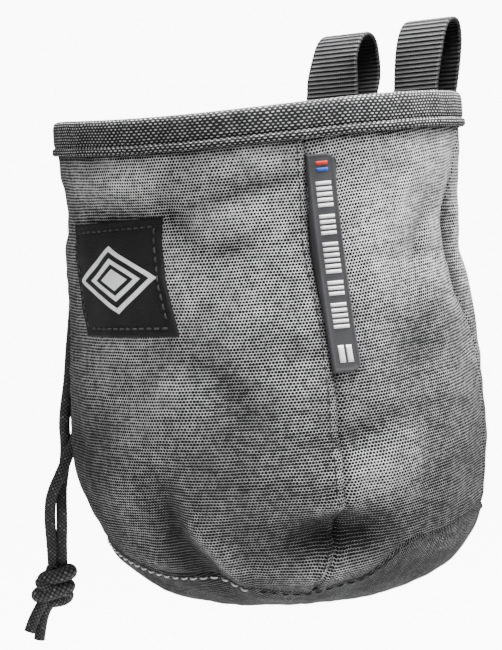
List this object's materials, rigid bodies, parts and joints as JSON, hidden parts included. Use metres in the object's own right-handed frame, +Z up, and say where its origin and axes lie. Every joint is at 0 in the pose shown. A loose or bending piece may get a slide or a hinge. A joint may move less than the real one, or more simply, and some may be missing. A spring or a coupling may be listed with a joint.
{
  "type": "climbing chalk bag",
  "caption": "Round soft chalk bag with a bound open mouth, webbing belt loops behind it, a woven label, a rubber seam tag and a knotted drawcord at the side.",
  "frame": {"origin": "on the belt line: the line of a belt that runs through the webbing loops behind the mouth, midway between them", "axes": "+Z up along the bag's axis, the bag's front toward -Y, +X to the right as seen from the front, along the belt"},
  "size_m": [0.1303, 0.1332, 0.1772],
  "materials": {
    "cloth": "black and white dotted plain weave",
    "binding": "coarse woven tape with pale flecks",
    "webbing": "ribbed webbing",
    "label": "fine black weave with a white woven ornament",
    "rubber": "matte moulded",
    "cord": "braided",
    "eyelet": "satin black"
  },
  "bodies": {
    "root": {"front_panel": "cloth", "right_side_panel": "cloth", "left_side_panel": "cloth", "back_panel": "cloth", "base_panel": "cloth", "rim_band": "binding", "belt_loop_left": "webbing", "belt_loop_right": "webbing", "woven_label": "label", "seam_tag": "rubber", "cord_eyelet": "eyelet", "drawcord_strand_1": "cord", "drawcord_strand_2": "cord", "drawcord_knot": "cord"}
  },
  "joints": []
}
